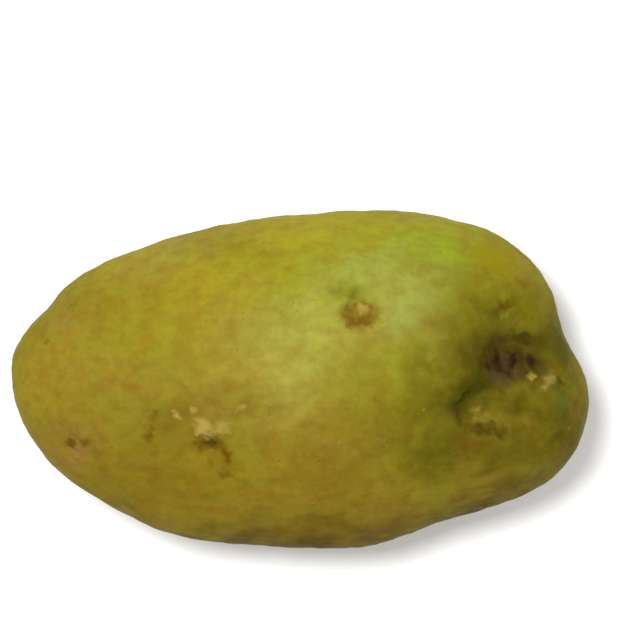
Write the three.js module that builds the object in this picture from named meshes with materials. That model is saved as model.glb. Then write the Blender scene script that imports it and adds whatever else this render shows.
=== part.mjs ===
// A greened table potato lying on its side: one tuber, with its eyes and their brows, the hollow
// at its rose end, the scab beside its widest eye and the scar where the stolon came off.
// Millimetres. +X runs from the heel, where the stolon was, to the rose end, and +Z is up.
import * as THREE from 'three';
import { mergeVertices } from 'three/addons/utils/BufferGeometryUtils.js';

// Driving dimensions
const length = 110;
const width = 64.5;
const thickness = 51;
const flatSpotDepth = 0.45; // how far the round underside is pressed flat where it rests

// The girdle is the widest line round the potato. The crown above it is a little deeper than
// the belly below, and the rose end is a little thicker than the heel.
const crownDepth = 0.53 * thickness;
const bellyDepth = 0.5 * thickness;
const roseEndThickening = 0.09;
const endLift = 1.6; // how far both ends rise above the middle of the girdle

// The girdle's forms make the body a little too long and wide and push it aside. It is made this
// share of the size, along and across, and moved this far, so that places count from its middle.
const planShare = [0.994, 0.978];
const planShift = [0.44, 0.52];

const skinColour = 0x8f8029;
const netFineness = 23; // the round net of triangles has 20 (n + 1) squared of them
const netPull = 0.55; // how strongly the net is drawn together round an eye
const netPullReach = 0.3; // and how far from the eye, in radians

const top = 1;
const under = -1;
const degree = Math.PI / 180;

// What the girdle does on its way round, seen from above: a bearing from the rose end, how many
// degrees the form spreads, and its height as a share of the radius there.
const girdleForms = [
  { name: 'shoulder', bearing: 55, spread: 23, height: 0.094 },
  { name: 'dip beside the rose end', bearing: 15, spread: 15, height: -0.062 },
  { name: 'long straight flank', bearing: 110, spread: 26, height: -0.05 },
  { name: 'slope to the heel', bearing: 156, spread: 8, height: -0.02 },
  { name: 'corner of the heel', bearing: 169, spread: 10, height: 0.012 },
  { name: 'slope under the heel', bearing: 200, spread: 20, height: 0.016 },
  { name: 'near side', bearing: 250, spread: 27, height: 0.05 },
  { name: 'kink of the near side', bearing: 285, spread: 10, height: 0.036 },
  { name: 'dip past the kink', bearing: 297, spread: 9, height: -0.008 },
  { name: 'hip', bearing: 326, spread: 20, height: 0.064 },
];

// Broad swells and hollows anywhere on the body. A place is a share of half the length and half
// the width, on the top or the under side, and a spread is in radians.
const bodyForms = [
  { name: 'rose end hollow', at: [0.73, 0.13], face: top, spread: 0.19, height: -0.105 },
  { name: 'valley out of the hollow', at: [0.57, -0.2], face: top, spread: 0.17, height: -0.055 },
  { name: 'lobe below the hollow', at: [0.84, -0.36], face: top, spread: 0.22, height: 0.035 },
  { name: 'crown', at: [0.12, 0.4], face: top, spread: 0.5, height: 0.03 },
  { name: 'edge of the crown, heel end', at: [-0.16, -0.06], face: top, spread: 0.15, height: 0.016 },
  { name: 'edge of the crown, middle', at: [0.1, -0.06], face: top, spread: 0.15, height: 0.018 },
  { name: 'ridge to the shoulder', at: [0.42, 0.5], face: top, spread: 0.2, height: 0.024 },
  { name: 'dip beside the crown', at: [-0.2, 0.62], face: top, spread: 0.2, height: -0.02 },
  { name: 'low heel back', at: [-0.55, 0.15], face: top, spread: 0.35, height: -0.03 },
  { name: 'dip before the heel', at: [-0.62, -0.12], face: top, spread: 0.18, height: -0.018 },
  { name: 'near cheek', at: [-0.1, -0.62], face: top, spread: 0.3, height: 0.022 },
  { name: 'resting side', at: [0.14, 0.06], face: under, spread: 0.55, height: -0.05 },
  { name: 'under dent', at: [0.52, 0.42], face: under, spread: 0.26, height: -0.05 },
  { name: 'under swell', at: [-0.5, -0.35], face: under, spread: 0.35, height: 0.035 },
  { name: 'heel swell', at: [-0.85, 0.1], face: under, spread: 0.3, height: 0.025 },
  { name: 'far flank dent', at: [-0.38, 0.64], face: under, spread: 0.26, height: -0.045 },
  { name: 'far flank swell', at: [0.12, 0.74], face: under, spread: 0.22, height: 0.03 },
  { name: 'near flank dent', at: [0.02, -0.7], face: under, spread: 0.24, height: -0.035 },
  { name: 'near flank swell', at: [0.48, -0.6], face: under, spread: 0.24, height: 0.03 },
];

// The eyes, in three rows each: where and how large, the heights, and the brow's way round. Size
// is from the middle to the brow, and stretch makes the eye that much longer along its brow.
// Depth, furrow, brow and bud are the heights of the bowl, of the groove under the brow, of the
// brow and of the bud. Wrap is how far the brow goes round, from a crescent at 0 to a ring at 1,
// turn swings it, in degrees, from facing the heel, and ruffle is where its waves begin, in radians.
const eyes = [
  {
    name: 'button eye', at: [0.205, 0.405], face: top, size: 3.4, stretch: 1.1,
    depth: 0.75, furrow: 0.55, brow: 0.5, bud: 0.8,
    wrap: 0.45, turn: -40, ruffle: 0.4,
  },
  {
    name: 'hollow eye', at: [0.725, 0.133], face: top, size: 5, stretch: 1.3,
    depth: 1.9, furrow: 0.5, brow: 0.45, bud: 0.7,
    wrap: 0.15, turn: -65, ruffle: 1.9,
  },
  {
    name: 'rose rim eye', at: [0.806, 0.02], face: top, size: 2.3, stretch: 1.3,
    depth: 0.6, furrow: 0.5, brow: 0.6, bud: 0.5,
    wrap: 0.1, turn: 160, ruffle: 2.6,
  },
  {
    name: 'valley eye', at: [0.6, -0.175], face: top, size: 3.5, stretch: 1.4,
    depth: 1.1, furrow: 0.5, brow: 0.55, bud: 0.7,
    wrap: 0.05, turn: -40, ruffle: 5.1,
  },
  {
    name: 'shoulder eye', at: [0.71, 0.4], face: top, size: 2.4, stretch: 1.7,
    depth: 0.4, furrow: 0.3, brow: 0.35, bud: 0.2,
    wrap: 0, turn: -51, ruffle: 0.9,
  },
  {
    name: 'scab eye', at: [-0.321, -0.3], face: top, size: 9, stretch: 1.1,
    depth: 0.8, furrow: 0.35, brow: 0.5, bud: 0.2,
    wrap: 0, turn: -30, ruffle: 3.3,
  },
  {
    name: 'scab pit', at: [-0.308, -0.376], face: top, size: 1.8, stretch: 1.7,
    depth: 0.75, furrow: 0.1, brow: 0.12, bud: 0,
    wrap: 0.3, turn: -90, ruffle: 4.2,
  },
  {
    name: 'heel eye', at: [-0.765, -0.385], face: top, size: 3, stretch: 1.5,
    depth: 0.55, furrow: 0.25, brow: 0.25, bud: 0.35,
    wrap: 0.1, turn: 85, ruffle: 1.2,
  },
  {
    name: 'near side eye', at: [0.34, -0.92], face: under, size: 4.4, stretch: 1.35,
    depth: 1.2, furrow: 0.6, brow: 0.55, bud: 0.75,
    wrap: 0.05, turn: 10, ruffle: 2.2,
  },
  {
    name: 'far side eye', at: [-0.16, 0.83], face: under, size: 4.6, stretch: 1.35,
    depth: 1.3, furrow: 0.65, brow: 0.6, bud: 0.8,
    wrap: 0.1, turn: -15, ruffle: 0.1,
  },
  {
    name: 'under heel eye', at: [-0.62, 0.3], face: under, size: 4.3, stretch: 1.4,
    depth: 1.2, furrow: 0.65, brow: 0.6, bud: 0.75,
    wrap: 0.05, turn: 0, ruffle: 3.9,
  },
  {
    name: 'under rose eye', at: [0.55, 0.36], face: under, size: 4.7, stretch: 1.35,
    depth: 1.5, furrow: 0.65, brow: 0.6, bud: 0.8,
    wrap: 0.15, turn: -20, ruffle: 5.6,
  },
  {
    name: 'under near eye', at: [-0.3, -0.6], face: under, size: 4.4, stretch: 1.4,
    depth: 1.2, furrow: 0.65, brow: 0.6, bud: 0.75,
    wrap: 0.05, turn: 10, ruffle: 1.5,
  },
  {
    name: 'under hip eye', at: [0.78, -0.36], face: under, size: 4.2, stretch: 1.35,
    depth: 1.2, furrow: 0.6, brow: 0.55, bud: 0.75,
    wrap: 0.1, turn: 25, ruffle: 4.7,
  },
  {
    name: 'stolon scar', at: [-0.975, 0.03], face: under, size: 3.6, stretch: 1.1,
    depth: 1.5, furrow: 0.5, brow: 0.55, bud: 1.3,
    wrap: 1, turn: 0, ruffle: 2.9,
  },
];

// The bumps of the scab: raised flecks of cork round the scab eye, and one near the hip.
const flecks = [
  { at: [-0.417, -0.201], face: top, size: 1.3, height: 0.3 },
  { at: [-0.358, -0.183], face: top, size: 1.1, height: 0.25 },
  { at: [-0.201, -0.17], face: top, size: 1.2, height: 0.3 },
  { at: [-0.332, -0.28], face: top, size: 2.3, height: 0.4 },
  { at: [-0.265, -0.268], face: top, size: 2.1, height: 0.35 },
  { at: [-0.28, -0.465], face: top, size: 1.2, height: 0.25 },
  { at: [0.653, -0.748], face: top, size: 1.4, height: 0.3 },
];

// A bell curve that is 1 at 0 and falls to about a third at 1.
const bell = (x) => Math.exp(-x * x);

const smoothStep = (low, high, x) => THREE.MathUtils.smoothstep(x, low, high);

// The direction on a unit sphere that lies over a place seen from above.
function directionOver([x, y], face) {
  const inside = Math.min(1, 0.999 / Math.hypot(x, y, 1e-9));
  const height = Math.sqrt(1 - (x * inside) ** 2 - (y * inside) ** 2);
  return new THREE.Vector3(x * inside, y * inside, face * height);
}

for (const form of bodyForms) form.direction = directionOver(form.at, form.face);

// How far out the body reaches in a direction, as a share of the plain ellipsoid: 1, plus the
// girdle's forms, which fade towards the crown and the belly, plus the broad forms.
function reachOf(direction) {
  const bearing = Math.atan2(direction.y, direction.x) / degree;
  const girdleFade = (1 - direction.z ** 2) ** 2;
  let reach = 1;
  for (const { bearing: middle, spread, height } of girdleForms) {
    const off = THREE.MathUtils.euclideanModulo(bearing - middle + 180, 360) - 180;
    reach += height * bell(off / spread) * girdleFade;
  }
  for (const { direction: middle, spread, height } of bodyForms) {
    reach += height * bell(direction.distanceTo(middle) / spread);
  }
  return reach;
}

// The smooth body, before its eyes.
function bodyPoint(direction) {
  const reach = reachOf(direction);
  const depth = direction.z > 0 ? crownDepth : bellyDepth;
  const taper = 1 + roseEndThickening * direction.x;
  return new THREE.Vector3(
    (length / 2) * planShare[0] * reach * direction.x + planShift[0],
    (width / 2) * planShare[1] * reach * direction.y + planShift[1],
    depth * taper * reach * direction.z + endLift * direction.x ** 2,
  );
}

// The way out of the skin, taken from the plain ellipsoid.
function outwards(direction) {
  return new THREE.Vector3(
    direction.x / length,
    direction.y / width,
    direction.z / thickness,
  ).normalize();
}

// The direction whose skin lies over a place, found by allowing for the reach a few times.
function directionOfPlace([x, y], face) {
  const along = (x - planShift[0] / (length / 2)) / planShare[0];
  const across = (y - planShift[1] / (width / 2)) / planShare[1];
  let direction = directionOver([along, across], face);
  for (let step = 0; step < 12; step++) {
    const reach = reachOf(direction);
    direction = directionOver([along / reach, across / reach], face);
  }
  return direction;
}

// Sets a mark on the skin: its middle, and the axes along, across and out of the skin there.
function placeOnSkin(mark) {
  mark.direction = directionOfPlace(mark.at, mark.face);
  mark.middle = bodyPoint(mark.direction);
  mark.out = outwards(mark.direction);
  mark.along = new THREE.Vector3(1, 0, 0).projectOnPlane(mark.out).normalize();
  mark.along.applyAxisAngle(mark.out, (mark.turn ?? 0) * degree);
  mark.across = mark.out.clone().cross(mark.along);
}

[...eyes, ...flecks].forEach(placeOnSkin);

// Where a point lies on a mark, in sizes of it, and how much it is on the mark's side at all.
function placeOnMark(point, { middle, along, across, out, size }) {
  const offset = point.clone().sub(middle);
  return {
    u: offset.dot(along) / size,
    v: offset.dot(across) / size,
    near: smoothStep(-3, -1.5, offset.dot(out) / size),
  };
}

// An eye's height over the body: a bowl that leans under the brow, the brow along its waved rim,
// steep to the furrow inside it and gentle outside, and a bud.
function eyeHeight(eye, point) {
  const { u, v: wide, near } = placeOnMark(point, eye);
  const v = wide / eye.stretch;
  const round = Math.hypot(u, v);
  if (round > 3 || near === 0) return 0;
  const way = Math.atan2(v, u);
  const waves = 0.08 * Math.sin(2 * way + eye.ruffle) + 0.06 * Math.sin(3 * way - 2 * eye.ruffle);
  const r = round * (1 + waves);
  const browSide = 0.5 - 0.5 * Math.cos(way);
  const ring = THREE.MathUtils.lerp(browSide ** 2, 1, eye.wrap);
  const bowl = -eye.depth * bell(Math.hypot(u + 0.2 * (1 - eye.wrap), v));
  const furrow = -eye.furrow * ring * bell((r - 0.68) / 0.27);
  const brow = eye.brow * ring * bell((r - 1.15) / (r < 1.15 ? 0.27 : 0.55));
  const bud = eye.bud * bell(Math.hypot(u, v) / 0.34);
  return near * (bowl + furrow + brow + bud);
}

// A fleck of cork: a low round bump.
function fleckHeight(fleck, point) {
  const { u, v, near } = placeOnMark(point, fleck);
  return near * fleck.height * bell(Math.hypot(u, v) * 1.3);
}

// The slight unevenness of a grown thing, over a centimetre or two.
function unevenness({ x, y, z }) {
  return (
    0.22 * Math.sin(x / 6.1 + 1.3 * Math.sin(y / 9)) * Math.sin(y / 5.3 + 0.7) +
    0.16 * Math.sin(z / 4.7 + x / 8.3) * Math.sin(y / 7.9 - x / 11)
  );
}

// A point pushed about by slow waves, which makes the eyes and flecks seen from it uneven.
function swayed({ x, y, z }) {
  return new THREE.Vector3(
    x + 0.35 * Math.sin(y / 1.3 + 1.3 * Math.sin(z / 1.9)),
    y + 0.35 * Math.sin(z / 1.1 + 1.3 * Math.sin(x / 1.7)),
    z + 0.35 * Math.sin(x / 1.2 + 1.3 * Math.sin(y / 1.5)),
  );
}

// The skin: the body, raised or sunk along the way out.
function skinPoint(direction) {
  const point = bodyPoint(direction);
  const seenFrom = swayed(point);
  let height = unevenness(point);
  for (const eye of eyes) height += eyeHeight(eye, seenFrom);
  for (const fleck of flecks) height += fleckHeight(fleck, seenFrom);
  return point.addScaledVector(outwards(direction), height);
}

// Draws a direction towards the eyes near it, so that the net is finer where the skin folds.
function drawnToEyes(direction) {
  const drawn = direction.clone();
  for (const { direction: middle } of eyes) {
    const away = drawn.angleTo(middle);
    if (away > 1e-6 && away < netPullReach) {
      const pull = netPull * (1 - (away / netPullReach) ** 2) ** 2;
      drawn.sub(middle).multiplyScalar(1 - pull).add(middle).normalize();
    }
  }
  return drawn;
}

// A round net of even triangles, laid over the skin.
function tuberGeometry() {
  const net = new THREE.IcosahedronGeometry(1, netFineness);
  net.deleteAttribute('normal');
  net.deleteAttribute('uv');
  const geometry = mergeVertices(net, 1e-5);
  const positions = geometry.attributes.position;
  const direction = new THREE.Vector3();
  for (let i = 0; i < positions.count; i++) {
    direction.fromBufferAttribute(positions, i).normalize();
    positions.setXYZ(i, ...skinPoint(drawnToEyes(direction)));
  }
  return geometry;
}

// Presses the lowest skin flat, stands it on z = 0 over the middle of its box, and fits the box
// to the driving dimensions.
function rested(geometry) {
  const positions = geometry.attributes.position;
  geometry.computeBoundingBox();
  const floor = geometry.boundingBox.min.z + flatSpotDepth;
  for (let i = 0; i < positions.count; i++) {
    positions.setZ(i, Math.max(positions.getZ(i), floor));
  }
  geometry.computeBoundingBox();
  const { min, max } = geometry.boundingBox;
  geometry.translate(-(min.x + max.x) / 2, -(min.y + max.y) / 2, -floor);
  geometry.scale(
    length / (max.x - min.x),
    width / (max.y - min.y),
    thickness / (max.z - min.z),
  );
  return geometry;
}

const skin = new THREE.MeshStandardMaterial({ color: skinColour, roughness: 0.6, metalness: 0 });
const tuber = new THREE.Mesh(rested(tuberGeometry()), skin);
tuber.name = 'potato';

const potato = new THREE.Group();
potato.add(tuber);
export default potato;
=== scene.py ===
# A greened table potato lying on its side, seen from straight above in soft studio light.
# The scene is in metres. The functions that shape the skin work in millimetres.
# +X runs from the heel, where the stolon was, to the rose end, and +Z is up.
import math

import bpy
import numpy as np
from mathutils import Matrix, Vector


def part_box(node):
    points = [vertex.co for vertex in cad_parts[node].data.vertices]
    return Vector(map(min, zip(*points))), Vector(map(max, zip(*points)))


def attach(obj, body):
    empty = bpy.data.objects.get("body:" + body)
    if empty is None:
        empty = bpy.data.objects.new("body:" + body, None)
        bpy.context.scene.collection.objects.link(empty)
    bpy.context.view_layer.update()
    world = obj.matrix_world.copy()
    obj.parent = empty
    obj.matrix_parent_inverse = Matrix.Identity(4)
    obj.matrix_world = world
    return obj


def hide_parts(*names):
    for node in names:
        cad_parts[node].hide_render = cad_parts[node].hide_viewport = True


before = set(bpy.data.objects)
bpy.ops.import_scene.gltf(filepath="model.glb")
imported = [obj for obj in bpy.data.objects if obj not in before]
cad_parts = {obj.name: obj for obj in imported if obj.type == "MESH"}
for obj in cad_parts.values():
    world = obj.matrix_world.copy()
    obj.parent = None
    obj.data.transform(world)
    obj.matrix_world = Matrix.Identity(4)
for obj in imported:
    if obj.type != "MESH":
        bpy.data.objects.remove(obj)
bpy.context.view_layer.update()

potatoLow, potatoHigh = [np.array(corner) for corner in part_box("potato")]
millimetres = 1000  # in a metre
length, width, thickness = millimetres * (potatoHigh - potatoLow)
scene = bpy.context.scene
print("frame loaded: %.1f x %.1f x %.1f mm" % (length, width, thickness))


# The camera stands straight above, as in the photograph

cameraView = {
    "lookAt": (0.00382, 0.01127),  # m, the picture's middle, up and right of the potato's
    "girdleHeight": 0.0262,        # m, where the outline is
    "spanAtGirdle": 0.1218,        # m across the picture
    "distance": 0.9,               # m from the girdle to the lens
    "sensorWidth": 36.0,           # mm
    "farthest": 20,                # m
}


def makeCamera(view):
    data = bpy.data.cameras.new("Camera above")
    data.sensor_width = view["sensorWidth"]
    data.lens = view["sensorWidth"] * view["distance"] / view["spanAtGirdle"]
    data.clip_end = view["farthest"]
    camera = bpy.data.objects.new("Camera above", data)
    camera.location = (*view["lookAt"], view["girdleHeight"] + view["distance"])
    scene.collection.objects.link(camera)
    scene.camera = camera


makeCamera(cameraView)


# Floor, lights and the tone of the picture

studio = {
    "floorSize": 3.0,                 # m
    "floorHeight": -0.00005,          # m, a hair below the skin
    "floorColour": (0.95, 0.95, 0.95),
    "floorRoughness": 0.9,
    "floorSpecular": 0.1,
    "worldColour": (1.0, 1.0, 1.0),
    "worldStrength": 0.74,
    "keyPlace": (-0.225, 0.2, 1.35),  # m, above, towards the picture's upper left
    "keySize": 0.32,                  # m
    "keyPower": 15.2,                 # W
}


def makeFloor(values):
    mesh = bpy.data.meshes.new("Floor")
    half = values["floorSize"] / 2
    corners = [(-half, -half), (half, -half), (half, half), (-half, half)]
    mesh.from_pydata([(x, y, values["floorHeight"]) for x, y in corners], [], [(0, 1, 2, 3)])
    floor = bpy.data.objects.new("Floor", mesh)
    material = bpy.data.materials.new("White board")
    material.use_nodes = True
    shader = material.node_tree.nodes["Principled BSDF"]
    shader.inputs["Base Color"].default_value = (*values["floorColour"], 1)
    shader.inputs["Roughness"].default_value = values["floorRoughness"]
    shader.inputs["Specular IOR Level"].default_value = values["floorSpecular"]
    mesh.materials.append(material)
    scene.collection.objects.link(floor)


def makeSoftbox(name, place, size, power):
    data = bpy.data.lights.new(name, "AREA")
    data.shape = "DISK"
    data.size = size
    data.energy = power
    light = bpy.data.objects.new(name, data)
    light.location = place
    light.rotation_euler = (-Vector(place)).to_track_quat("-Z", "Y").to_euler()
    scene.collection.objects.link(light)


def makeRoom(values):
    world = bpy.data.worlds.new("White room")
    world.use_nodes = True
    background = world.node_tree.nodes["Background"]
    background.inputs["Color"].default_value = (*values["worldColour"], 1)
    background.inputs["Strength"].default_value = values["worldStrength"]
    scene.world = world
    scene.view_settings.view_transform = "Standard"


makeFloor(studio)
makeSoftbox("Key", studio["keyPlace"], studio["keySize"], studio["keyPower"])
makeRoom(studio)
print("camera, floor and lights made")


# The body, by the same formula as the part's own, worked out on a finer net

top = 1
under = -1

body = {
    "crownDepth": 0.53 * thickness,
    "bellyDepth": 0.5 * thickness,
    "roseEndThickening": 0.09,
    "endLift": 1.6,               # mm, both ends over the middle of the girdle
    "planShare": (0.994, 0.978),  # draws the body in, along and across, to the box's size
    "planShift": (0.44, 0.52),    # mm, and moves it to the box's middle
    "flatSpotDepth": 0.45,        # mm pressed flat underneath
    "flatSpotBlend": 0.12,        # mm, how softly the skin turns into the flat spot
}

girdleForms = [  # bearing from the rose end and spread in degrees, height as a share of the radius
    {"name": "shoulder", "bearing": 55, "spread": 23, "height": 0.094},
    {"name": "dip beside the rose end", "bearing": 15, "spread": 15, "height": -0.062},
    {"name": "long straight flank", "bearing": 110, "spread": 26, "height": -0.05},
    {"name": "slope to the heel", "bearing": 156, "spread": 8, "height": -0.02},
    {"name": "corner of the heel", "bearing": 169, "spread": 10, "height": 0.012},
    {"name": "slope under the heel", "bearing": 200, "spread": 20, "height": 0.016},
    {"name": "near side", "bearing": 250, "spread": 27, "height": 0.05},
    {"name": "kink of the near side", "bearing": 285, "spread": 10, "height": 0.036},
    {"name": "dip past the kink", "bearing": 297, "spread": 9, "height": -0.008},
    {"name": "hip", "bearing": 326, "spread": 20, "height": 0.064},
]

bodyForms = [  # places as shares of half the length and half the width, spread in radians
    {"name": "rose end hollow", "at": (0.73, 0.13), "face": top, "spread": 0.19, "height": -0.105},
    {"name": "valley out of it", "at": (0.57, -0.2), "face": top, "spread": 0.17, "height": -0.055},
    {"name": "lobe below it", "at": (0.84, -0.36), "face": top, "spread": 0.22, "height": 0.035},
    {"name": "crown", "at": (0.12, 0.4), "face": top, "spread": 0.5, "height": 0.03},
    {"name": "crown's edge, heel end", "at": (-0.16, -0.06), "face": top, "spread": 0.15, "height": 0.016},
    {"name": "crown's edge, middle", "at": (0.1, -0.06), "face": top, "spread": 0.15, "height": 0.018},
    {"name": "ridge to the shoulder", "at": (0.42, 0.5), "face": top, "spread": 0.2, "height": 0.024},
    {"name": "dip beside the crown", "at": (-0.2, 0.62), "face": top, "spread": 0.2, "height": -0.02},
    {"name": "low heel back", "at": (-0.55, 0.15), "face": top, "spread": 0.35, "height": -0.03},
    {"name": "dip before the heel", "at": (-0.62, -0.12), "face": top, "spread": 0.18, "height": -0.018},
    {"name": "near cheek", "at": (-0.1, -0.62), "face": top, "spread": 0.3, "height": 0.022},
    {"name": "resting side", "at": (0.14, 0.06), "face": under, "spread": 0.55, "height": -0.05},
    {"name": "under dent", "at": (0.52, 0.42), "face": under, "spread": 0.26, "height": -0.05},
    {"name": "under swell", "at": (-0.5, -0.35), "face": under, "spread": 0.35, "height": 0.035},
    {"name": "heel swell", "at": (-0.85, 0.1), "face": under, "spread": 0.3, "height": 0.025},
    {"name": "far flank dent", "at": (-0.38, 0.64), "face": under, "spread": 0.26, "height": -0.045},
    {"name": "far flank swell", "at": (0.12, 0.74), "face": under, "spread": 0.22, "height": 0.03},
    {"name": "near flank dent", "at": (0.02, -0.7), "face": under, "spread": 0.24, "height": -0.035},
    {"name": "near flank swell", "at": (0.48, -0.6), "face": under, "spread": 0.24, "height": 0.03},
]


# A bell curve: 1 at 0, about a third at 1
def bell(x):
    return np.exp(-x * x)


# 0 below low, 1 above high, and an even S between them
def smoothStep(low, high, x):
    t = np.clip((x - low) / (high - low), 0, 1)
    return t * t * (3 - 2 * t)


def unit(vectors):
    return vectors / np.linalg.norm(vectors, axis=-1, keepdims=True)


# The direction on a unit ball that lies over a place seen from above. A place on the ball's edge
# or past it is drawn in to just inside.
def directionOver(at, face, farthest=0.999, tiny=1e-9):
    x, y = np.array(at) * min(1, farthest / max(math.hypot(*at), tiny))
    return np.array((x, y, face * math.sqrt(1 - x * x - y * y)))


# Reach: 1, plus the girdle's bells by bearing, which fade towards crown and belly, plus the broad
# forms' bells by distance
def reachOf(directions):
    bearings = np.degrees(np.arctan2(directions[..., 1], directions[..., 0]))
    girdleFade = (1 - directions[..., 2] ** 2) ** 2
    reach = np.ones(directions.shape[:-1])
    for form in girdleForms:
        off = (bearings - form["bearing"] + 180) % 360 - 180
        reach += form["height"] * bell(off / form["spread"]) * girdleFade
    for form in bodyForms:
        middle = directionOver(form["at"], form["face"])
        away = np.linalg.norm(directions - middle, axis=-1)
        reach += form["height"] * bell(away / form["spread"])
    return reach


# The smooth body: an ellipsoid times the reach, thicker to the rose end, with both ends lifted
def bodyPoints(directions):
    x, y, z = np.moveaxis(directions, -1, 0)
    reach = reachOf(directions)
    depth = np.where(z > 0, body["crownDepth"], body["bellyDepth"])
    taper = 1 + body["roseEndThickening"] * x
    (shareAlong, shareAcross), (shiftAlong, shiftAcross) = body["planShare"], body["planShift"]
    return np.stack((
        length / 2 * shareAlong * reach * x + shiftAlong,
        width / 2 * shareAcross * reach * y + shiftAcross,
        depth * taper * reach * z + body["endLift"] * x * x,
    ), -1)


# The way out of the skin, taken from the plain ellipsoid
def outwards(directions):
    return unit(directions / np.array((length, width, thickness)))


# The direction whose skin lies over a place, found by allowing for the reach a few times
def directionOfPlace(at, face, rounds=12):
    shift = np.array(body["planShift"]) / (length / 2, width / 2)
    place = (np.array(at) - shift) / body["planShare"]
    direction = directionOver(place, face)
    for _ in range(rounds):
        direction = directionOver(place / reachOf(direction), face)
    return direction


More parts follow.
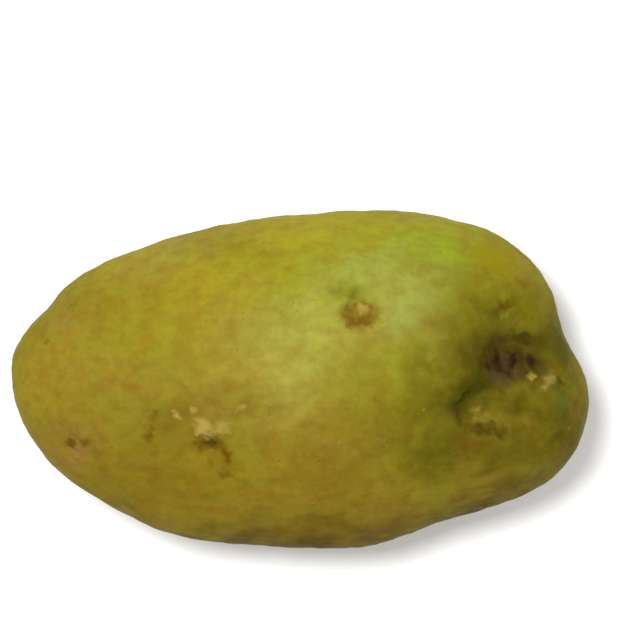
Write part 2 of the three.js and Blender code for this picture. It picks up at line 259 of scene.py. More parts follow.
# The eyes. Size is from the middle to the brow, in mm, and stretch makes the eye that much longer
# along its brow. Depth, furrow, brow and bud are the heights of the bowl, of the groove under the
# brow, of the brow and of the bud. Wrap is how far the brow goes round, from a crescent at 0 to a
# ring at 1, turn swings it, in degrees, and ruffle is where its waves begin. The tones say how
# strongly the eye is shaded, bruised, corked and pale at the bud.
eyes = [
    {"name": "button eye", "at": (0.205, 0.405), "face": top, "size": 3.4, "stretch": 1.1,
     "depth": 0.75, "furrow": 0.55, "brow": 0.5, "bud": 0.8,
     "wrap": 0.45, "turn": -40, "ruffle": 0.4,
     "tones": {"shade": 0.2, "bruise": 0.0, "cork": 0.15, "bud": 0.9}},
    {"name": "hollow eye", "at": (0.725, 0.133), "face": top, "size": 5, "stretch": 1.3,
     "depth": 1.9, "furrow": 0.5, "brow": 0.45, "bud": 0.7,
     "wrap": 0.15, "turn": -65, "ruffle": 1.9,
     "tones": {"shade": 0.4, "bruise": 0.4, "cork": 0.1, "bud": 0.1}},
    {"name": "rose rim eye", "at": (0.806, 0.02), "face": top, "size": 2.3, "stretch": 1.3,
     "depth": 0.6, "furrow": 0.5, "brow": 0.6, "bud": 0.5,
     "wrap": 0.1, "turn": 160, "ruffle": 2.6,
     "tones": {"shade": 0.25, "bruise": 0.0, "cork": 0.25, "bud": 0.9}},
    {"name": "valley eye", "at": (0.6, -0.175), "face": top, "size": 3.5, "stretch": 1.4,
     "depth": 1.1, "furrow": 0.5, "brow": 0.55, "bud": 0.7,
     "wrap": 0.05, "turn": -40, "ruffle": 5.1,
     "tones": {"shade": 0.1, "bruise": 0.1, "cork": 0.15, "bud": 0.5}},
    {"name": "shoulder eye", "at": (0.71, 0.4), "face": top, "size": 2.4, "stretch": 1.7,
     "depth": 0.4, "furrow": 0.3, "brow": 0.35, "bud": 0.2,
     "wrap": 0, "turn": -51, "ruffle": 0.9,
     "tones": {"shade": 0.6, "bruise": 0.0, "cork": 0.1, "bud": 0.2}},
    {"name": "scab eye", "at": (-0.321, -0.3), "face": top, "size": 9, "stretch": 1.1,
     "depth": 0.8, "furrow": 0.35, "brow": 0.5, "bud": 0.2,
     "wrap": 0, "turn": -30, "ruffle": 3.3,
     "tones": {"shade": 0.3, "bruise": 0.0, "cork": 0.15, "bud": 0.2}},
    {"name": "scab pit", "at": (-0.308, -0.376), "face": top, "size": 1.8, "stretch": 1.7,
     "depth": 0.75, "furrow": 0.1, "brow": 0.12, "bud": 0,
     "wrap": 0.3, "turn": -90, "ruffle": 4.2,
     "tones": {"shade": 0.3, "bruise": 0.1, "cork": 0.1, "bud": 0.0}},
    {"name": "heel eye", "at": (-0.765, -0.385), "face": top, "size": 3, "stretch": 1.5,
     "depth": 0.55, "furrow": 0.25, "brow": 0.25, "bud": 0.35,
     "wrap": 0.1, "turn": 85, "ruffle": 1.2,
     "tones": {"shade": 0.1, "bruise": 0.0, "cork": 0.2, "bud": 0.15}},
    {"name": "near side eye", "at": (0.34, -0.92), "face": under, "size": 4.4, "stretch": 1.35,
     "depth": 1.2, "furrow": 0.6, "brow": 0.55, "bud": 0.75,
     "wrap": 0.05, "turn": 10, "ruffle": 2.2,
     "tones": {"shade": 0.6, "bruise": 0.1, "cork": 0.6, "bud": 0.5}},
    {"name": "far side eye", "at": (-0.16, 0.83), "face": under, "size": 4.6, "stretch": 1.35,
     "depth": 1.3, "furrow": 0.65, "brow": 0.6, "bud": 0.8,
     "wrap": 0.1, "turn": -15, "ruffle": 0.1,
     "tones": {"shade": 0.6, "bruise": 0.0, "cork": 0.6, "bud": 0.6}},
    {"name": "under heel eye", "at": (-0.62, 0.3), "face": under, "size": 4.3, "stretch": 1.4,
     "depth": 1.2, "furrow": 0.65, "brow": 0.6, "bud": 0.75,
     "wrap": 0.05, "turn": 0, "ruffle": 3.9,
     "tones": {"shade": 0.6, "bruise": 0.0, "cork": 0.6, "bud": 0.5}},
    {"name": "under rose eye", "at": (0.55, 0.36), "face": under, "size": 4.7, "stretch": 1.35,
     "depth": 1.5, "furrow": 0.65, "brow": 0.6, "bud": 0.8,
     "wrap": 0.15, "turn": -20, "ruffle": 5.6,
     "tones": {"shade": 0.7, "bruise": 0.2, "cork": 0.6, "bud": 0.7}},
    {"name": "under near eye", "at": (-0.3, -0.6), "face": under, "size": 4.4, "stretch": 1.4,
     "depth": 1.2, "furrow": 0.65, "brow": 0.6, "bud": 0.75,
     "wrap": 0.05, "turn": 10, "ruffle": 1.5,
     "tones": {"shade": 0.6, "bruise": 0.0, "cork": 0.6, "bud": 0.5}},
    {"name": "under hip eye", "at": (0.78, -0.36), "face": under, "size": 4.2, "stretch": 1.35,
     "depth": 1.2, "furrow": 0.6, "brow": 0.55, "bud": 0.75,
     "wrap": 0.1, "turn": 25, "ruffle": 4.7,
     "tones": {"shade": 0.6, "bruise": 0.1, "cork": 0.6, "bud": 0.6}},
    {"name": "stolon scar", "at": (-0.975, 0.03), "face": under, "size": 3.6, "stretch": 1.1,
     "depth": 1.5, "furrow": 0.5, "brow": 0.55, "bud": 1.3,
     "wrap": 1, "turn": 0, "ruffle": 2.9,
     "tones": {"shade": 0.7, "bruise": 0.1, "cork": 0.7, "bud": 0.4}},
]

flecks = [  # raised flecks of cork round the scab eye, and one near the hip
    {"at": (-0.417, -0.201), "face": top, "size": 1.3, "height": 0.3, "tone": 0.75},
    {"at": (-0.358, -0.183), "face": top, "size": 1.1, "height": 0.25, "tone": 0.6},
    {"at": (-0.201, -0.17), "face": top, "size": 1.2, "height": 0.3, "tone": 0.65},
    {"at": (-0.332, -0.28), "face": top, "size": 2.3, "height": 0.4, "tone": 0.75},
    {"at": (-0.265, -0.268), "face": top, "size": 2.1, "height": 0.35, "tone": 0.55},
    {"at": (-0.28, -0.465), "face": top, "size": 1.2, "height": 0.25, "tone": 0.15},
    {"at": (0.653, -0.748), "face": top, "size": 1.4, "height": 0.3, "tone": 0.1},
]


budNodules = [  # share of the bud's height, place along and across the eye, and spread, in sizes
    (0.8, -0.1, 0.02, 0.27),
    (0.6, 0.12, 0.26, 0.18),
    (0.5, 0.15, -0.23, 0.16),
    (0.35, 0.32, 0.03, 0.15),
]


# Sets a mark on the skin: its middle, and the axes along, across and out of the skin there
def placeOnSkin(mark):
    mark["direction"] = directionOfPlace(mark["at"], mark["face"])
    mark["middle"] = bodyPoints(mark["direction"])
    out = outwards(mark["direction"])
    level = unit(np.array((1.0, 0, 0)) - out[0] * out)
    turn = math.radians(mark.get("turn", 0))
    mark["out"] = out
    mark["along"] = level * math.cos(turn) + np.cross(out, level) * math.sin(turn)
    mark["across"] = np.cross(out, mark["along"])


for mark in eyes + flecks:
    placeOnSkin(mark)


markFade = (-3, -1.5)  # heights over a mark's middle, in its sizes, between which it fades in


# Where points lie along and across a mark, in its sizes, and how much they are on its side at all
def placeOnMark(points, mark):
    offset = (points - mark["middle"]) / mark["size"]
    near = smoothStep(*markFade, offset @ mark["out"])
    return offset @ mark["along"], offset @ mark["across"], near


eyeShape = {  # in sizes of the eye
    "waves": (0.08, 0.06),       # how far two waves round the eye push its rings out and in
    "bowlLean": 0.2,
    "furrow": (0.68, 0.27),      # distance from the middle, and spread
    "brow": 1.15,
    "browSlopes": (0.27, 0.55),  # spreads on the inside and the outside
    "wrinkled": 0.55,            # spread of the wrinkles, which lie round the distance 1
}


# An eye's parts as bells of the waved distance from its middle: the bowl, which leans under the
# brow, the furrow's and the brow's rings, strongest to the brow's side, and the bud's nodules
def eyeParts(eye, points):
    u, wide, near = placeOnMark(points, eye)
    v = wide / eye["stretch"]
    way = np.arctan2(v, u)
    double, triple = eyeShape["waves"]
    waves = double * np.sin(2 * way + eye["ruffle"]) + triple * np.sin(3 * way - 2 * eye["ruffle"])
    r = np.hypot(u, v) * (1 + waves)
    browSide = 0.5 - 0.5 * np.cos(way)
    ring = browSide ** 2 * (1 - eye["wrap"]) + eye["wrap"]
    bud = sum(
        share * bell(np.hypot(u - along, v - across) / spread)
        for share, along, across, spread in budNodules
    )
    lean = eyeShape["bowlLean"] * (1 - eye["wrap"])
    furrow, furrowSpread = eyeShape["furrow"]
    slope = np.where(r < eyeShape["brow"], *eyeShape["browSlopes"])
    return {
        "bowl": near * bell(np.hypot(u + lean, v)),
        "furrow": near * ring * bell((r - furrow) / furrowSpread),
        "brow": near * ring * bell((r - eyeShape["brow"]) / slope),
        "bud": near * bud,
        "wrinkled": near * ring * bell((r - 1) / eyeShape["wrinkled"]),
        "distance": r * eye["size"],
    }


swellHeights = (0.22, 0.16)  # mm


# The slight unevenness of a grown thing: products of slow waves over three to seven centimetres.
# Each divisor is a wave's length in mm over a full turn in radians.
def unevenness(points):
    x, y, z = np.moveaxis(points, -1, 0)
    across = np.sin(x / 6.1 + 1.3 * np.sin(y / 9)) * np.sin(y / 5.3 + 0.7)
    slanting = np.sin(z / 4.7 + x / 8.3) * np.sin(y / 7.9 - x / 11)
    return swellHeights[0] * across + swellHeights[1] * slanting


# A random-looking even field: the sum of plane waves in seeded directions, mostly between -2 and
# 2. The waves' lengths are drawn from a range of shares of the one asked for.
def waveField(points, wavelength, seed, waves=26, shares=(0.7, 1.4)):
    draw = np.random.default_rng(seed)
    ways = unit(draw.normal(size=(waves, 3)))
    ways *= 2 * math.pi / (wavelength * draw.uniform(*shares, (waves, 1)))
    starts = draw.uniform(0, 2 * math.pi, waves)
    return np.sin(points @ ways.T + starts).sum(-1) / math.sqrt(waves / 2)


# A field for each axis
def waveVectors(points, wavelength, seeds):
    return np.stack([waveField(points, wavelength, seed) for seed in seeds], -1)


sway = {  # in mm, how far the edges of eyes and flecks stray
    "slow": 0.35,
    "fine": 0.16,
    "fineLength": 1.9,
    "fineSeeds": (51, 52, 53),
}

fineRelief = {  # in mm, what only the finer net can carry
    "ripples": [(7.5, 0.07, 11), (3.2, 0.03, 12), (1.6, 0.012, 13)],  # wavelength, height, seed
    "wrinkleSpacing": 1.25,
    "wrinkleHeight": 0.06,
    "wrinkledBrow": 0.7,       # the height of a brow with wrinkles of the full height
    "wrinkleBend": 0.8,        # radians
    "wrinkleBendLength": 3.0,
    "flakeEdge": (0.2, 1.25),  # where a fleck's edge starts and ends, in its sizes
    "flakeRagging": 0.09,      # how far it is torn, in its sizes
    "flakeGrain": 1.6,
}


# Points pushed about by slow waves, as in the part, and by finer ones that only this net carries
def swayed(points):
    x, y, z = np.moveaxis(points, -1, 0)
    slow = np.stack((
        np.sin(y / 1.3 + 1.3 * np.sin(z / 1.9)),
        np.sin(z / 1.1 + 1.3 * np.sin(x / 1.7)),
        np.sin(x / 1.2 + 1.3 * np.sin(y / 1.5)),
    ), -1)
    fine = waveVectors(points, sway["fineLength"], sway["fineSeeds"])
    return points + sway["slow"] * slow + sway["fine"] * fine


# Fine wrinkles that run along an eye's brow and furrow: a wave of the distance from its middle
def wrinkles(eye, points, parts):
    bend = fineRelief["wrinkleBend"] * waveField(points, fineRelief["wrinkleBendLength"], 21)
    wave = np.sin(2 * math.pi * parts["distance"] / fineRelief["wrinkleSpacing"] + bend)
    height = fineRelief["wrinkleHeight"] * eye["brow"] / fineRelief["wrinkledBrow"]
    return height * parts["wrinkled"] * wave


# A flake of cork: a low plate with a ragged edge, square with round corners, because the distance
# from its middle is taken with cubes in place of squares
def flakeShare(fleck, points):
    u, v, near = placeOnMark(points, fleck)
    torn = fineRelief["flakeRagging"] * waveField(points, fineRelief["flakeGrain"], 31)
    away = np.cbrt(np.abs(u) ** 3 + np.abs(v) ** 3)
    return near * (1 - smoothStep(*fineRelief["flakeEdge"], away + torn))


net = {
    "squares": 128,    # along each side of the six patches
    "sewing": 1e6,     # points whose places agree to one part in this many are one
    "pull": 0.5,       # how strongly the net is drawn together round an eye
    "pullReach": 0.3,  # and how far from the eye, in radians
}


# A ball as six patches: each patch's two parameters are angles from -45 to 45 degrees, their
# tangents are the place on a cube's face, and the point is brought to length 1
def ballPatches(squares):
    slope = np.tan(np.linspace(-math.pi / 4, math.pi / 4, squares + 1))
    s, t = np.meshgrid(slope, slope, indexing="ij")
    one = np.ones_like(s)
    sides = [(one, s, t), (-one, -s, t), (-s, one, t), (s, -one, t), (s, t, one), (-s, t, -one)]
    return unit(np.array([np.stack(side, -1) for side in sides]))


# The patches' points, each kept once where patches meet, and the squares between them
def sewnBall(squares):
    points = ballPatches(squares).reshape(-1, 3)
    keys = np.round(points * net["sewing"]).astype(np.int64)
    _, kept, place = np.unique(keys, axis=0, return_index=True, return_inverse=True)
    grid = place.reshape(6, squares + 1, squares + 1)
    quads = np.stack((grid[:, :-1, :-1], grid[:, 1:, :-1], grid[:, 1:, 1:], grid[:, :-1, 1:]), -1)
    return points[kept], quads.reshape(-1, 4)


# Draws directions towards the eyes near them: a share of the way that falls from the eye outwards
def drawnToEyes(directions):
    drawn = directions
    for eye in eyes:
        away = np.arccos(np.clip(drawn @ eye["direction"], -1, 1))
        inside = np.clip(1 - (away / net["pullReach"]) ** 2, 0, 1)
        pull = (net["pull"] * inside ** 2)[:, None]
        drawn = unit(drawn + (eye["direction"] - drawn) * pull)
    return drawn


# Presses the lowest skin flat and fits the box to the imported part's
def rested(points):
    floor = points[:, 2].min() + body["flatSpotDepth"]
    over = points[:, 2] - floor
    blend = body["flatSpotBlend"]
    points[:, 2] = (over + np.sqrt(over * over + blend * blend)) / 2
    low, high = points.min(0), points.max(0)
    return potatoLow + (points - low) / (high - low) * (potatoHigh - potatoLow)


# Patches of colour on the skin: name, pigment, place, spreads along and across, turn, amount.
# Places are shares of half the length and half the width, as above, all on the top side, spreads
# are in mm, turn is in degrees, and amount is the pigment's share in the middle.
patches = [
    ("greened crown", "lime", (0.45, 0.8), (15, 8), -8, 0.8),
    ("crown's green apron", "lime", (0.12, 0.62), (16, 9), 0, 0.4),
    ("green before the hollow", "lime", (0.34, 0.06), (7, 5), 0, 0.3),
    # Partly a pale bloom on the skin and partly a painted highlight where the soft light shines on the
    # crown
    ("bloom past the button eye", "bloomAndSheen", (0.38, 0.45), (9, 7), 10, 0.75),
    ("bloom over the button eye", "bloomAndSheen", (0.25, 0.66), (7, 4), 20, 0.6),
    ("green over the button eye", "lime", (0.2, 0.62), (6, 3.5), 10, 0.5),
    ("tan beside the button eye", "tan", (0.08, 0.46), (3, 2.2), 10, 0.4),
    ("straw band", "straw", (0.02, 0.34), (15, 9), 35, 0.75),
    ("straw band's low end", "straw", (-0.03, 0.02), (11, 7), 40, 0.65),
    ("yellow far flank", "yellow", (0.05, 0.85), (20, 6), 3, 0.75),
    ("yellow pocket", "yellow", (-0.28, 0.6), (11, 6), 10, 0.6),
    ("yellow left middle", "yellow", (-0.46, 0.26), (12, 8), 0, 0.4),
    # Painted light: the rim that faces the key light, made paler in the skin's colour
    ("lit heel slope", "paintedLight", (-0.55, 0.8), (12, 3.5), 27, 0.45),
    ("lit far flank", "paintedLight", (0, 0.98), (20, 3.5), 4, 0.5),
    ("lit crown edge", "paintedLight", (0.5, 0.98), (10, 3.5), -8, 0.45),
    ("lit shoulder", "paintedLight", (0.8, 0.7), (8, 3), -48, 0.35),
    ("amber shoulder", "amber", (0.72, 0.7), (7, 6), -35, 0.6),
    ("amber heel", "amber", (-0.9, 0.12), (5, 6), 0, 0.35),
    ("rosy heel slope", "rose", (-0.45, 0.8), (10, 5), 24, 0.35),
    ("pale heel slope", "straw", (-0.45, 0.72), (8, 4), 24, 0.35),
    ("rosy left middle", "rose", (-0.57, -0.02), (12, 9), 10, 0.28),
    ("rosy heel", "rose", (-0.8, 0.38), (5, 5), 0, 0.4),
    ("rosy heel eye", "rose", (-0.76, -0.37), (6.5, 4.5), 5, 1),
    ("bronze low heel", "bronze", (-0.5, -0.58), (24, 9), -6, 0.8),
    ("bronze cheek", "bronze", (0.05, -0.5), (16, 8), 0, 0.7),
    ("bronze under the heel", "bronze", (-0.75, -0.4), (9, 7), -35, 0.6),
    ("brown scab bed", "umber", (-0.4, -0.24), (10, 6), 0, 0.25),
    ("rosy scab", "rose", (-0.3, -0.2), (10, 5), 8, 0.35),
    ("bronze right of the scab", "bronze", (-0.15, -0.17), (6, 4), 15, 0.6),
    ("darker patch", "umber", (-0.19, 0.24), (5, 3), 0, 0.15),
    ("tan near cheek", "tan", (0.12, -0.4), (14, 9), -5, 0.5),
    # Partly the browner skin of the near side and partly painted shade on its low rim
    ("umber near side", "umber", (0.1, -0.93), (26, 6), 2, 0.85),
    # Painted shade: the low rims, turned away from the key light, made darker in the skin's colour
    ("dark near rim", "paintedShade", (-0.05, -1), (34, 2.4), 0, 0.7),
    ("dark rim of the hip", "paintedShade", (0.66, -0.86), (14, 4.2), 20, 0.85),
    ("dark rim of the rose end", "paintedShade", (0.93, -0.42), (4, 6), 35, 0.5),
    # Painted shade on the low rim by the heel
    ("umber low heel edge", "umber", (-0.5, -0.88), (16, 3), -24, 0.6),
    ("rosy near side", "rose", (0.25, -0.8), (14, 5), 8, 0.25),
    ("olive right middle", "olive", (0.62, 0.36), (11, 9), 10, 0.7),
    ("olive past the cheek", "olive", (0.34, -0.17), (7, 5), 10, 0.55),
    ("deep green above the hollow", "deepGreen", (0.66, 0.36), (6, 5), 20, 0.4),
    ("olive past the shoulder eye", "olive", (0.77, 0.43), (4.5, 5), -40, 0.8),
    ("olive right edge", "olive", (0.87, 0.42), (5, 9), 10, 0.75),
    ("deep green valley", "deepGreen", (0.58, -0.06), (9.5, 9.5), 40, 1),
    ("deep green under the hollow", "deepGreen", (0.66, -0.07), (6, 4), 10, 0.75),
    ("deep green of the ridge", "deepGreen", (0.74, -0.15), (7, 5.5), 0, 0.85),
    ("deep green right middle", "deepGreen", (0.42, -0.14), (6, 5), 20, 0.35),
    ("deep green low right", "deepGreen", (0.52, -0.4), (11, 6), -10, 0.8),
    ("deep green past the valley", "deepGreen", (0.7, -0.38), (8, 6), 0, 0.85),
    ("deep green rose end", "deepGreen", (0.87, -0.27), (10, 11), 0, 0.8),
    ("deep green by the dip", "deepGreen", (0.88, 0.19), (5.5, 7), 0, 0.75),
    ("deep green hip", "deepGreen", (0.78, -0.6), (10, 6), 30, 0.6),
    ("hollow's bruise", "bruise", (0.722, 0.135), (6.7, 4.5), -5, 1),
    ("hollow's bruise, right end", "bruise", (0.81, 0.11), (3.4, 2.4), -35, 0.8),
    ("bruise by the valley eye", "mauve", (0.52, -0.19), (2.8, 2.6), -40, 0.4),
    ("rusty rose end", "rust", (0.94, -0.2), (1.3, 4), -10, 0.55),
    ("crescent of the rim eye", "cream", (0.842, -0.015), (3.2, 0.8), 50, 0.6),
    ("button eye's ground", "sienna", (0.208, 0.395), (4, 3.8), 0, 0.7),
    ("button eye's low rim", "brown", (0.215, 0.332), (3.2, 1.5), 8, 0.8),
    ("button eye's left rim", "brown", (0.155, 0.4), (0.9, 2), 0, 0.4),
    ("button eye's upper rim", "brown", (0.178, 0.5), (1.7, 1), 20, 0.45),
    ("smudge over the button eye", "olive", (0.145, 0.51), (3.6, 1.6), 15, 0.6),
    ("streaks beside the button eye", "cream", (0.118, 0.4), (0.8, 2), 0, 0.5),
    ("golden shoulder", "gold", (0.68, 0.71), (5, 3.4), -20, 0.75),
    ("orange shoulder", "orange", (0.755, 0.6), (1.6, 1.6), 0, 0.4),
    ("shoulder eye's lower spot", "pine", (0.672, 0.396), (1.3, 1.1), 0, 0.5),
    ("shoulder eye's upper spot", "pine", (0.685, 0.456), (1.2, 1), 0, 0.45),
    ("shoulder eye's streak", "cream", (0.715, 0.4), (3.2, 0.7), 39, 0.35),
    ("hollow's left streak", "ink", (0.69, 0.155), (0.7, 1.8), 4, 0.95),
    ("hollow's middle streak", "ink", (0.742, 0.125), (0.8, 1.6), -6, 0.95),
    ("hollow's right streak", "ink", (0.8, 0.11), (1.1, 1.6), 12, 0.75),
    ("hollow's upper streak", "ink", (0.765, 0.225), (1.8, 0.6), -15, 0.5),
    ("hollow's left edge", "ink", (0.655, 0.09), (0.8, 1.4), 0, 0.65),
    ("mauve in the hollow", "mauve", (0.715, 0.115), (0.8, 2), 5, 0.75),
    ("mauve left in the hollow", "mauve", (0.665, 0.13), (0.8, 1.5), 0, 0.65),
    ("mauve over the hollow", "mauve", (0.7, 0.24), (1.8, 0.9), 10, 0.6),
    ("mauve under the hollow", "mauve", (0.7, 0.03), (3.8, 1.6), 8, 0.6),
    ("mauve right under the hollow", "mauve", (0.75, 0.05), (2, 1), 20, 0.5),
    ("hollow's upper rim", "pine", (0.765, 0.25), (3.4, 1.2), -20, 0.7),
    ("hollow's right rim", "pine", (0.82, 0.2), (2, 1.4), -20, 0.4),
    ("hollow's lower rim", "pine", (0.66, -0.03), (3, 1.4), -10, 0.45),
    ("green by the rim eye", "pine", (0.882, -0.005), (1.1, 1.8), 10, 0.65),
    ("bluish spot of the rose end", "teal", (0.893, -0.13), (1.9, 2.8), 0, 0.5),
    ("dark valley", "pine", (0.56, -0.06), (6, 5), 25, 0.5),
    ("tan under the valley eye", "cream", (0.64, -0.235), (3.4, 1.1), -8, 0.25),
    ("dark arc under the valley eye", "ink", (0.635, -0.285), (4.2, 1.3), -3, 0.6),
    ("brown before the arc", "brown", (0.575, -0.36), (4, 2.4), -20, 0.7),
    ("rusty trail", "rust", (0.69, -0.235), (2, 0.8), 0, 0.4),
    ("rusty trail's end", "rust", (0.7, -0.34), (1.6, 0.8), -20, 0.35),
    ("scab's brow, upper", "brown", (-0.487, -0.205), (1.1, 2), -20, 0.6),
    ("scab's brow, lower", "brown", (-0.51, -0.32), (1.2, 2.4), -8, 0.7),
    ("band over the scab", "sienna", (-0.325, -0.145), (4, 1.1), 3, 0.45),
    ("shadow over the right fleck", "brown", (-0.194, -0.129), (1, 0.7), 0, 0.5),
    ("pit of the scab", "brown", (-0.31, -0.385), (3.4, 1.5), 0, 0.8),
    ("dark middle of the pit", "pine", (-0.305, -0.36), (1.6, 1.2), 0, 0.75),
    ("middle of the left flake", "cream", (-0.318, -0.29), (1.7, 1.9), 0, 0.6),
    ("middle of the right flake", "cream", (-0.255, -0.272), (1.6, 1.3), 0, 0.45),
    ("gap between the flakes", "brown", (-0.3, -0.25), (0.5, 1.4), 0, 0.4),
    ("golden ground under the scab", "amber", (-0.295, -0.45), (3, 1.9), -20, 0.85),
    ("spot right of the scab", "brown", (-0.255, -0.44), (1.4, 1.8), 10, 0.85),
    ("spot under the scab", "brown", (-0.257, -0.545), (1.4, 1.5), 0, 0.6),
    ("olive spot under the scab", "pine", (-0.305, -0.492), (1.1, 1), 0, 0.4),
    ("heel eye's olive spot", "brown", (-0.79, -0.37), (1.5, 1.1), 0, 0.85),
    ("heel eye's brown spot", "brown", (-0.735, -0.37), (1.6, 1.2), 0, 0.6),
    ("heel eye's faint spot", "brown", (-0.67, -0.345), (1.4, 0.9), 0, 0.35),
    ("heel eye's pale gap", "cream", (-0.763, -0.375), (0.6, 1.1), 0, 0.35),
    # Painted light: the lit slope below the heel eye's low brow, in these two streaks
    ("heel eye's orange streak", "orange", (-0.765, -0.415), (3.4, 1.1), -4, 0.65),
    ("heel eye's lower streak", "orange", (-0.775, -0.48), (4.8, 1.3), 6, 0.5),
    ("fleck of the heel", "sienna", (-0.869, 0.22), (0.8, 0.8), 0, 0.7),
    ("orange heel tip", "orange", (-0.919, 0.144), (1.2, 1.4), 0, 0.4),
    ("brown spots of the heel slope", "brown", (-0.781, 0.438), (1.6, 0.8), 30, 0.4),
]


patchEdges = {  # in mm, how the patches' edges stray
    "slow": 1.3,
    "slowLength": 9,
    "slowSeeds": (41, 42, 43),
    "fine": 0.5,
    "fineLength": 3.2,
    "fineSeeds": (44, 45, 46),
    "fullSpread": 20,    # the spread of a patch whose edge strays as far as that
    "tear": 0.07,        # of the spread
    "mostTear": 0.26,
    "tearLength": 1.7,
    "tearSeeds": (47, 48, 49),
    "smallSpread": 9,    # below it, a patch is flatter in its middle
    "smallPower": 1.6,
}


# Each pigment's share of the skin: the strongest of its patches, whose bells are taken at places
# pushed about by waves, the farther the wider the patch, so that the edges wander. A small patch
# is flatter in its middle, and finer waves tear its edge.
def patchShares(points):
    slow = patchEdges["slow"] * waveVectors(points, patchEdges["slowLength"], patchEdges["slowSeeds"])
    fine = patchEdges["fine"] * waveVectors(points, patchEdges["fineLength"], patchEdges["fineSeeds"])
    torn = waveVectors(points, patchEdges["tearLength"], patchEdges["tearSeeds"])
    shares = {}
    for _, pigment, at, (spreadAlong, spreadAcross), turn, amount in patches:
        middle = bodyPoints(directionOfPlace(at, top))
        spread = spreadAlong + spreadAcross
        wander = min(1, spread / patchEdges["fullSpread"])
        tear = min(patchEdges["mostTear"], patchEdges["tear"] * spread)
        offset = points + wander * (slow + fine) + tear * torn - middle
        turned = math.radians(turn)
        along = offset[:, 0] * math.cos(turned) + offset[:, 1] * math.sin(turned)
        across = offset[:, 1] * math.cos(turned) - offset[:, 0] * math.sin(turned)
        deep = offset[:, 2] / spread
        away = np.sqrt((along / spreadAlong) ** 2 + (across / spreadAcross) ** 2 + deep ** 2)
        power = patchEdges["smallPower"] if spread < patchEdges["smallSpread"] else 1
        share = amount * bell(away ** power)
        shares[pigment] = np.maximum(shares.get(pigment, 0), share)
    return shares


def storeShare(mesh, name, values):
    attribute = mesh.attributes.new(name, "FLOAT", "POINT")
    attribute.data.foreach_set("value", values.astype(np.float32))


bowlShade = 0.35  # how strongly an eye's bowl is shaded, as a share of its furrow's shade


# The relief over the smooth body, in mm, and the tones' shares: the unevenness and the ripples,
# then each eye's parts with its wrinkles, and each fleck
def skinRelief(points):
    height = unevenness(points)
    for wavelength, rise, seed in fineRelief["ripples"]:
        height += rise * waveField(points, wavelength, seed)
    tones = {tone: np.zeros(len(points)) for tone in ("shade", "hurt", "cork", "bud", "flake")}
    strayed = swayed(points)
    for eye in eyes:
        parts = eyeParts(eye, strayed)
        height += eye["brow"] * parts["brow"] + eye["bud"] * parts["bud"]
        height -= eye["depth"] * parts["bowl"] + eye["furrow"] * parts["furrow"]
        height += wrinkles(eye, strayed, parts)
        strength = eye["tones"]
        tones["shade"] += strength["shade"] * (parts["furrow"] + bowlShade * parts["bowl"])
        tones["hurt"] += strength["bruise"] * parts["bowl"]
        tones["cork"] += strength["cork"] * parts["brow"]
        tones["bud"] += strength["bud"] * parts["bud"]
    for fleck in flecks:
        share = flakeShare(fleck, strayed)
        height += fleck["height"] * share
        tones["flake"] = np.maximum(tones["flake"], fleck["tone"] * share)
    return height, tones


# The net's directions, put on the smooth body and moved outwards by the relief
def makePotato():
    ball, quads = sewnBall(net["squares"])
    directions = drawnToEyes(ball)
    points = bodyPoints(directions)
    height, tones = skinRelief(points)
    skin = rested(points + outwards(directions) * height[:, None])
    mesh = bpy.data.meshes.new("greenedPotato")
    mesh.from_pydata(skin, [], quads.tolist())
    mesh.shade_smooth()
    for name, values in {**patchShares(points), **tones}.items():
        storeShare(mesh, name, values)
    potato = bpy.data.objects.new("greenedPotato", mesh)
    scene.collection.objects.link(potato)
    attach(potato, "root")
    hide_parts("potato")
    return potato


potato = makePotato()
print("skin made: %d squares" % len(potato.data.polygons))


# A Mix node's sockets for colours: the share, the two colours and the result
mixShare, mixUnder, mixOver, mixResult = 0, 6, 7, 2


# A socket that takes part in expressions: an operator adds its Math node, and node() any other
class Shade:
    def __init__(self, tree, socket=None):
        self.tree = tree
        self.socket = socket

    def node(self, kind, settings, values, output=0):
        made = self.tree.nodes.new(kind)
        for name, value in settings.items():
            setattr(made, name, value)
        for name, value in values.items():
            if isinstance(value, Shade):
                self.tree.links.new(value.socket, made.inputs[name])
            else:
                made.inputs[name].default_value = value
        return Shade(self.tree, made.outputs[output])

    def math(self, operation, *values):
        return self.node("ShaderNodeMath", {"operation": operation}, dict(enumerate(values)))

    def __add__(self, other):
        return self.math("ADD", self, other)

    def __sub__(self, other):
        return self.math("SUBTRACT", self, other)

    def __rsub__(self, other):
        return self.math("SUBTRACT", other, self)

    def __mul__(self, other):
        return self.math("MULTIPLY", self, other)

    __radd__ = __add__
    __rmul__ = __mul__

    # 0 below low, 1 above high, and an even S between them
    def step(self, low, high):
        values = {"Value": self, "From Min": low, "From Max": high}
        return self.node("ShaderNodeMapRange", {"interpolation_type": "SMOOTHSTEP"}, values)

    # This colour with a share of another laid over it
    def under(self, colour, share):
        sockets = {mixShare: share, mixUnder: self, mixOver: colour}
        return self.node("ShaderNodeMix", {"data_type": "RGBA"}, sockets, mixResult)

    # This colour multiplied by a share of a tint
    def tinted(self, tint, share):
        settings = {"data_type": "RGBA", "blend_type": "MULTIPLY"}
        sockets = {mixShare: share, mixUnder: self, mixOver: (*tint, 1)}
        return self.node("ShaderNodeMix", settings, sockets, mixResult)

    # This vector or colour made longer or brighter
    def scaled(self, factor):
        return self.node("ShaderNodeVectorMath", {"operation": "SCALE"}, {0: self, "Scale": factor})


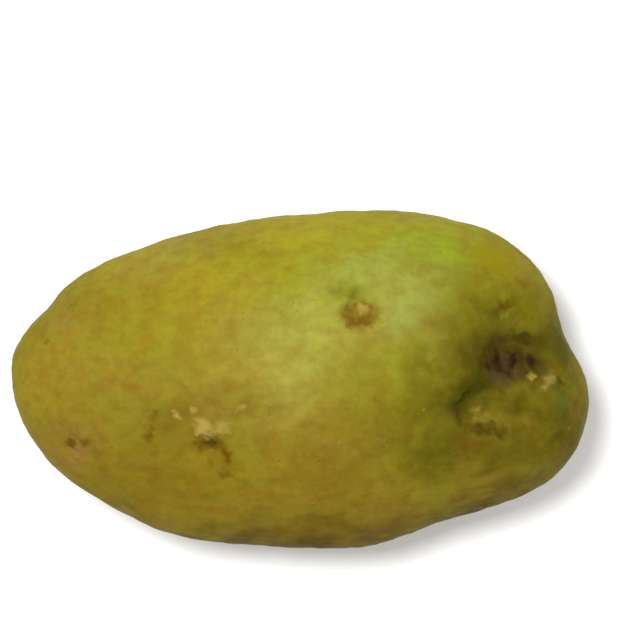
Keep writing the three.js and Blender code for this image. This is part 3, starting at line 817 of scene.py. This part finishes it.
# The skin's finish. Sizes are in mm, and an edge is the two values of a noise, a share or a draw
# between which it runs. A colour is written as it looks in these lights.
skinFinish = {
    "lightShare": 0.63,        # the skin's linear colour as a share of how it looks
    "ochre": "a48c28",
    "ochreGreen": "988c22",
    "ochreSize": 14,
    "ochreEdge": (0.35, 0.65),
    "pigments": [  # broad ones, laid over the ochre one after another
        ("tan", "98822f"),
        ("yellow", "b2a422"),
        ("straw", "bab652"),
        ("lime", "a2b028"),
        # pale bloom and painted highlight
        ("bloomAndSheen", "b0b858"),
        ("amber", "a08a20"),
        ("rose", "a0803a"),
        ("bronze", "8e761a"),
        # a brown of the skin, also used as painted shade on the low rims
        ("umber", "745c0c"),
        ("olive", "7c760e"),
        ("deepGreen", "545004"),
        # painted light, for the rim that faces the key light
        ("paintedLight", "c6b634"),
        # painted shade, for the low rims
        ("paintedShade", "5a4808"),
        ("bruise", "463414"),
    ],
    "pigmentLeast": 0.55,      # how much of a pigment's share there is at least
    "pigmentMottle": 0.9,      # and how much the mottle adds
    "marks": [  # small ones, with ragged edges
        ("rust", "86601e"),
        ("brown", "6e5008"),
        ("sienna", "8a6414"),
        ("gold", "a4960c"),
        ("orange", "a87c3c"),
        ("pine", "3e3c06"),
        ("ink", "2c1c06"),
        ("mauve", "604c32"),
        ("teal", "56742e"),
        ("cream", "b8a358"),
    ],
    "tones": [  # of the eyes and flecks
        ("shade", "6a5008"),
        ("hurt", "2c1c0c"),
        ("cork", "a8924a"),
        ("bud", "c0a448"),
        ("flake", "c2a650"),
    ],
    "raggedness": 0.5,         # how far fine noise tears the edges of marks and tones
    "raggedEdge": (0.1, 1.0),
    "belly": "a58d4c",
    "bellyHeights": (4, 17),   # all pale below the one and none above the other
    "bellyWander": 6,
    "bellyShare": 0.55,
    "mottleSize": 3.6,
    "mottleStretch": 1.2,      # how much longer the mottle is along the potato
    "mottleStreaks": 1.4,      # how many times finer its streaks are
    "brownTint": (0.93, 0.86, 0.76),
    "brownEdge": (0.42, 0.72),
    "yellowTint": (1.04, 1.09, 0.97),
    "yellowEdge": (0.3, 0.56),
    "rosyTint": (1.07, 0.94, 0.97),
    "rosySize": 2.6,
    "rosyEdge": (0.5, 0.72),
    "rosyLoss": 0.85,          # of it on greened skin
    "greenedEdge": (0.0, 0.7),
    "fineMottleSize": 1.1,
    "fineMottleLight": 0.28,   # how much lighter the fine mottle's light spots are than its dark
    "grainSize": 0.35,
    "dotEdge": 0.1,
    "lenticels": {"spacing": 3.6, "radius": 0.35, "least": 0.45, "colour": "b09c58", "share": 0.5},
    "specks": {"spacing": 2.3, "radius": 0.3, "least": 0.55, "colour": "6e5818", "share": 0.4},
    "straySize": 1 / 0.6,      # of the noise that bends the cells of dots and netting
    "strayWidth": 1.4,
    "net": "a8934a",
    "netSpacing": 1.5,
    "netLine": (0.02, 0.16),
    "netPatchSize": 6,
    "netPatchEdge": (0.5, 0.68),
    "netShare": 0.12,
    "roughness": 0.58,
    "roughnessMottle": 0.16,
    "specular": 0.02,
    "bumpHeight": 0.00016,     # m
    "bumpShares": {"grain": 0.45, "mottle": 0.6, "lenticels": 0.5, "netting": 0.25, "flakes": 0.5},
}


# A colour as it looks in the lights, from its six hex digits, in the linear values shaders take
def paint(code):
    screen = np.array([int(code[i:i + 2], 16) for i in (0, 2, 4)]) / 255
    linear = np.where(screen > 0.04045, ((screen + 0.055) / 1.055) ** 2.4, screen / 12.92)
    return (*(linear * skinFinish["lightShare"]), 1)


def makeSkinMaterial(values):
    material = bpy.data.materials.new("Greened potato skin")
    material.use_nodes = True
    tree = material.node_tree
    shader = tree.nodes["Principled BSDF"]
    shader.inputs["Specular IOR Level"].default_value = values["specular"]
    start = Shade(tree)

    def share(name):
        return start.node("ShaderNodeAttribute", {"attribute_name": name}, {}, "Fac")

    def noise(size, detail, offset=0.0, stretch=1.0):
        centred = {"Vector": place, "Location": (offset, offset, offset), "Scale": (1 / stretch, 1, 1)}
        moved = start.node("ShaderNodeMapping", {}, centred)
        settings = {"Vector": moved, "Scale": 1 / size, "Detail": detail}
        return start.node("ShaderNodeTexNoise", {}, settings)

    def cells(spacing, feature, output):
        settings = {"Vector": bentPlace, "Scale": 1 / spacing}
        return start.node("ShaderNodeTexVoronoi", {"feature": feature}, settings, output)

    # Round dots, one to a cell, in the cells whose drawn number is over least
    def dots(kind):
        spacing, radius, least = kind["spacing"], kind["radius"], kind["least"]
        away = cells(spacing, "F1", "Distance") * spacing
        drawn = cells(spacing, "F1", "Color")
        return (1 - away.step(radius / 2, radius)) * drawn.step(least, least + values["dotEdge"])

    # A share with an edge torn by fine noise
    def ragged(name):
        torn = share(name) + values["raggedness"] * (fineMottle - 0.5)
        return torn.step(*values["raggedEdge"])

    coordinates = start.node("ShaderNodeTexCoord", {}, {}, "Object")
    place = coordinates.scaled(millimetres)
    strayNoise = {"Vector": place, "Scale": 1 / values["straySize"], "Detail": 2}
    stray = start.node("ShaderNodeTexNoise", {}, strayNoise, "Color").scaled(values["strayWidth"])
    bentPlace = start.node("ShaderNodeVectorMath", {"operation": "ADD"}, {0: place, 1: stray})
    height = start.node("ShaderNodeSeparateXYZ", {}, {"Vector": place}, "Z")

    stretch = values["mottleStretch"]
    mottle = noise(values["mottleSize"], 4, 0, stretch)
    streaks = noise(values["mottleSize"] / values["mottleStreaks"], 3, 71, stretch)
    fineMottle = noise(values["fineMottleSize"], 3, 37)
    grain = noise(values["grainSize"], 2, 53)

    ochres = {
        mixShare: noise(values["ochreSize"], 2, 91).step(*values["ochreEdge"]),
        mixUnder: paint(values["ochre"]),
        mixOver: paint(values["ochreGreen"]),
    }
    colour = start.node("ShaderNodeMix", {"data_type": "RGBA"}, ochres, mixResult)
    amount = values["pigmentLeast"] + values["pigmentMottle"] * mottle
    for name, code in values["pigments"]:
        colour = colour.under(paint(code), share(name) * amount)
    wandered = height + values["bellyWander"] * (mottle - 0.5)
    belly = (1 - wandered.step(*values["bellyHeights"])) * values["bellyShare"]
    colour = colour.under(paint(values["belly"]), belly)

    colour = colour.tinted(values["brownTint"], streaks.step(*values["brownEdge"]))
    colour = colour.tinted(values["yellowTint"], 1 - streaks.step(*values["yellowEdge"]))
    greened = (share("lime") + share("bloomAndSheen") + share("straw")).step(*values["greenedEdge"])
    blotches = noise(values["rosySize"], 3, 23).step(*values["rosyEdge"])
    colour = colour.tinted(values["rosyTint"], blotches * (1 - values["rosyLoss"] * greened))

    lenticels = dots(values["lenticels"])
    specks = dots(values["specks"])
    spacing = values["netSpacing"]
    line = cells(spacing, "DISTANCE_TO_EDGE", "Distance") * spacing
    netted = noise(values["netPatchSize"], 3, 17).step(*values["netPatchEdge"])
    netting = (1 - line.step(*values["netLine"])) * netted
    colour = colour.under(paint(values["net"]), values["netShare"] * netting)
    colour = colour.under(paint(values["specks"]["colour"]), values["specks"]["share"] * specks)
    colour = colour.under(paint(values["lenticels"]["colour"]), values["lenticels"]["share"] * lenticels)
    light = values["fineMottleLight"]
    colour = colour.scaled(1 - light / 2 + light * fineMottle)

    for name, code in values["marks"] + values["tones"]:
        colour = colour.under(paint(code), ragged(name))
    tree.links.new(colour.socket, shader.inputs["Base Color"])

    roughness = values["roughness"] + values["roughnessMottle"] * (fineMottle - 0.5)
    tree.links.new(roughness.socket, shader.inputs["Roughness"])

    bumps = values["bumpShares"]
    relief = bumps["grain"] * grain + bumps["mottle"] * fineMottle
    relief += bumps["lenticels"] * lenticels + bumps["netting"] * netting
    relief += bumps["flakes"] * ragged("flake")
    settings = {"Strength": 1.0, "Distance": values["bumpHeight"], "Height": relief}
    bump = start.node("ShaderNodeBump", {}, settings)
    tree.links.new(bump.socket, shader.inputs["Normal"])
    return material


potato.data.materials.append(makeSkinMaterial(skinFinish))
print("skin finished")
